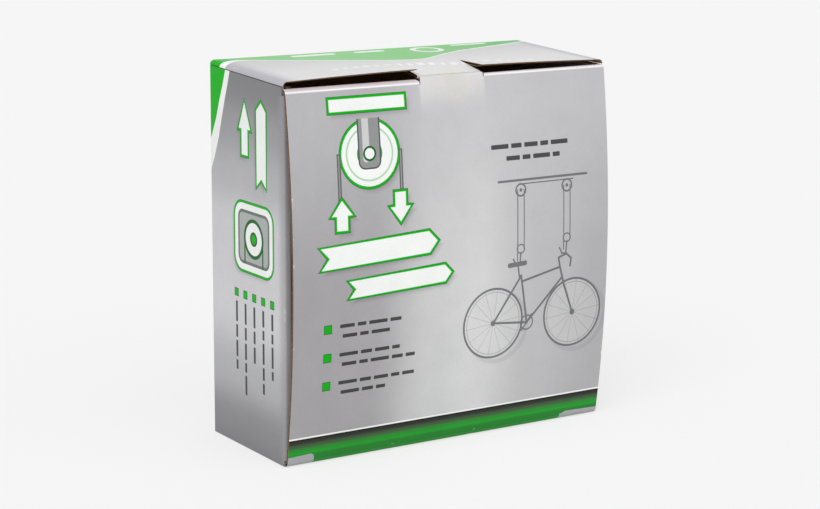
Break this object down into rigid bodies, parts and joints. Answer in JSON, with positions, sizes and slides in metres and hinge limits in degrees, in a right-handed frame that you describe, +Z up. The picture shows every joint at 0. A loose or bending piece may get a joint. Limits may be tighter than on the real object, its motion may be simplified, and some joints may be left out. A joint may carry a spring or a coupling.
{
  "type": "boxed bicycle ceiling hoist kit",
  "caption": "Upright folding carton with a hinged bowed lid, packed with rope-pulley ceiling hoists: brake brackets, hook blocks, cleats and screws.",
  "frame": {"origin": "centre of the bounding box at the bottom, on the surface that the carton stands on", "axes": "+Y from the lid to the back, +Z up, +X to the right as seen from the front"},
  "size_m": [0.25, 0.111, 0.254],
  "materials": {
    "printed_board": "printed corrugated board, silver-grey ink with green areas, brown raw edges, satin",
    "black_steel": "black powder coat, fine texture, satin",
    "zinc_steel": "bright zinc plate",
    "white_nylon": "moulded nylon, half gloss",
    "black_nylon": "moulded nylon, matt",
    "dipped_vinyl": "dipped soft vinyl, half gloss"
  },
  "bodies": {
    "carton": {"back_panel": "printed_board", "bottom_wall": "printed_board", "top_wall": "printed_board", "left_side_wall": "printed_board", "right_side_wall": "printed_board", "left_dust_flaps": "printed_board", "right_dust_flaps": "printed_board", "hoist_1_front_bracket": "black_steel", "hoist_1_front_axles": "zinc_steel", "hoist_1_brake_rivets": "zinc_steel", "hoist_1_rear_bracket": "black_steel", "hoist_1_rear_axle": "zinc_steel", "hoist_1_handlebar_yoke": "black_steel", "hoist_1_handlebar_axle": "zinc_steel", "hoist_1_handlebar_hooks": "zinc_steel", "hoist_1_handlebar_sleeves": "dipped_vinyl", "hoist_1_saddle_yoke": "black_steel", "hoist_1_saddle_axle": "zinc_steel", "hoist_1_saddle_hooks": "zinc_steel", "hoist_1_saddle_sleeves": "dipped_vinyl", "hoist_1_cleat": "black_nylon", "hoist_1_bracket_screws": "zinc_steel", "hoist_1_cleat_screws": "zinc_steel", "hoist_2_front_bracket": "black_steel", "hoist_2_front_axles": "zinc_steel", "hoist_2_brake_rivets": "zinc_steel", "hoist_2_rear_bracket": "black_steel", "hoist_2_rear_axle": "zinc_steel", "hoist_2_handlebar_yoke": "black_steel", "hoist_2_handlebar_axle": "zinc_steel", "hoist_2_handlebar_hooks": "zinc_steel", "hoist_2_handlebar_sleeves": "dipped_vinyl", "hoist_2_saddle_yoke": "black_steel", "hoist_2_saddle_axle": "zinc_steel", "hoist_2_saddle_hooks": "zinc_steel", "hoist_2_saddle_sleeves": "dipped_vinyl", "hoist_2_cleat": "black_nylon", "hoist_2_bracket_screws": "zinc_steel", "hoist_2_cleat_screws": "zinc_steel"},
    "lid": {"lid_panel": "printed_board"},
    "tuck_flaps": {"left_tuck_flap": "printed_board", "right_tuck_flap": "printed_board"},
    "hoist_1_front_sheave_brake": {"hoist_1_front_sheave_brake": "white_nylon"},
    "hoist_1_front_sheave_lead": {"hoist_1_front_sheave_lead": "white_nylon"},
    "hoist_1_rear_sheave": {"hoist_1_rear_sheave": "white_nylon"},
    "hoist_1_handlebar_sheave": {"hoist_1_handlebar_sheave": "white_nylon"},
    "hoist_1_saddle_sheave": {"hoist_1_saddle_sheave": "white_nylon"},
    "hoist_1_brake_cam": {"hoist_1_brake_cam": "zinc_steel"},
    "hoist_2_front_sheave_brake": {"hoist_2_front_sheave_brake": "white_nylon"},
    "hoist_2_front_sheave_lead": {"hoist_2_front_sheave_lead": "white_nylon"},
    "hoist_2_rear_sheave": {"hoist_2_rear_sheave": "white_nylon"},
    "hoist_2_handlebar_sheave": {"hoist_2_handlebar_sheave": "white_nylon"},
    "hoist_2_saddle_sheave": {"hoist_2_saddle_sheave": "white_nylon"},
    "hoist_2_brake_cam": {"hoist_2_brake_cam": "zinc_steel"}
  },
  "joints": [
    {"name": "lid_hinge", "type": "hinge", "parent": "carton", "child": "lid", "pos_m": [0, -0.0467, 0.004], "axis": [1, 0, 0], "range_deg": [0, 85]},
    {"name": "tuck_flap_crease", "type": "hinge", "parent": "lid", "child": "tuck_flaps", "pos_m": [0, -0.04219, 0.24497], "axis": [1, 0, 0], "range_deg": [0, 59.5]},
    {"name": "hoist_1_front_sheave_brake_spin", "type": "hinge", "parent": "carton", "child": "hoist_1_front_sheave_brake", "pos_m": [-0.014, -0.009, 0.13685], "axis": [0, 1, 0], "continuous": true},
    {"name": "hoist_1_front_sheave_lead_spin", "type": "hinge", "parent": "carton", "child": "hoist_1_front_sheave_lead", "pos_m": [0.034, -0.009, 0.13685], "axis": [0, 1, 0], "continuous": true},
    {"name": "hoist_1_rear_sheave_spin", "type": "hinge", "parent": "carton", "child": "hoist_1_rear_sheave", "pos_m": [0, 0.018, 0.13685], "axis": [0, 1, 0], "continuous": true},
    {"name": "hoist_1_handlebar_sheave_spin", "type": "hinge", "parent": "carton", "child": "hoist_1_handlebar_sheave", "pos_m": [-0.0967, 0.0045, 0.09565], "axis": [0, 1, 0], "continuous": true},
    {"name": "hoist_1_saddle_sheave_spin", "type": "hinge", "parent": "carton", "child": "hoist_1_saddle_sheave", "pos_m": [-0.0377, 0.0045, 0.09565], "axis": [0, 1, 0], "continuous": true},
    {"name": "hoist_1_brake_cam_swing", "type": "hinge", "parent": "carton", "child": "hoist_1_brake_cam", "pos_m": [-0.041, -0.009, 0.13685], "axis": [0, -1, 0], "range_deg": [0, 40]},
    {"name": "hoist_2_front_sheave_brake_spin", "type": "hinge", "parent": "carton", "child": "hoist_2_front_sheave_brake", "pos_m": [0.014, -0.009, 0.17805], "axis": [0, 1, 0], "continuous": true},
    {"name": "hoist_2_front_sheave_lead_spin", "type": "hinge", "parent": "carton", "child": "hoist_2_front_sheave_lead", "pos_m": [-0.034, -0.009, 0.17805], "axis": [0, 1, 0], "continuous": true},
    {"name": "hoist_2_rear_sheave_spin", "type": "hinge", "parent": "carton", "child": "hoist_2_rear_sheave", "pos_m": [0, 0.018, 0.17805], "axis": [0, 1, 0], "continuous": true},
    {"name": "hoist_2_handlebar_sheave_spin", "type": "hinge", "parent": "carton", "child": "hoist_2_handlebar_sheave", "pos_m": [0.0967, 0.0045, 0.09565], "axis": [0, 1, 0], "continuous": true},
    {"name": "hoist_2_saddle_sheave_spin", "type": "hinge", "parent": "carton", "child": "hoist_2_saddle_sheave", "pos_m": [0.0377, 0.0045, 0.09565], "axis": [0, 1, 0], "continuous": true},
    {"name": "hoist_2_brake_cam_swing", "type": "hinge", "parent": "carton", "child": "hoist_2_brake_cam", "pos_m": [0.041, -0.009, 0.17805], "axis": [0, 1, 0], "range_deg": [0, 40]}
  ],
  "couplings": [
    {"joint": "tuck_flap_crease", "follows": "lid_hinge", "ratio": 0.7}
  ]
}
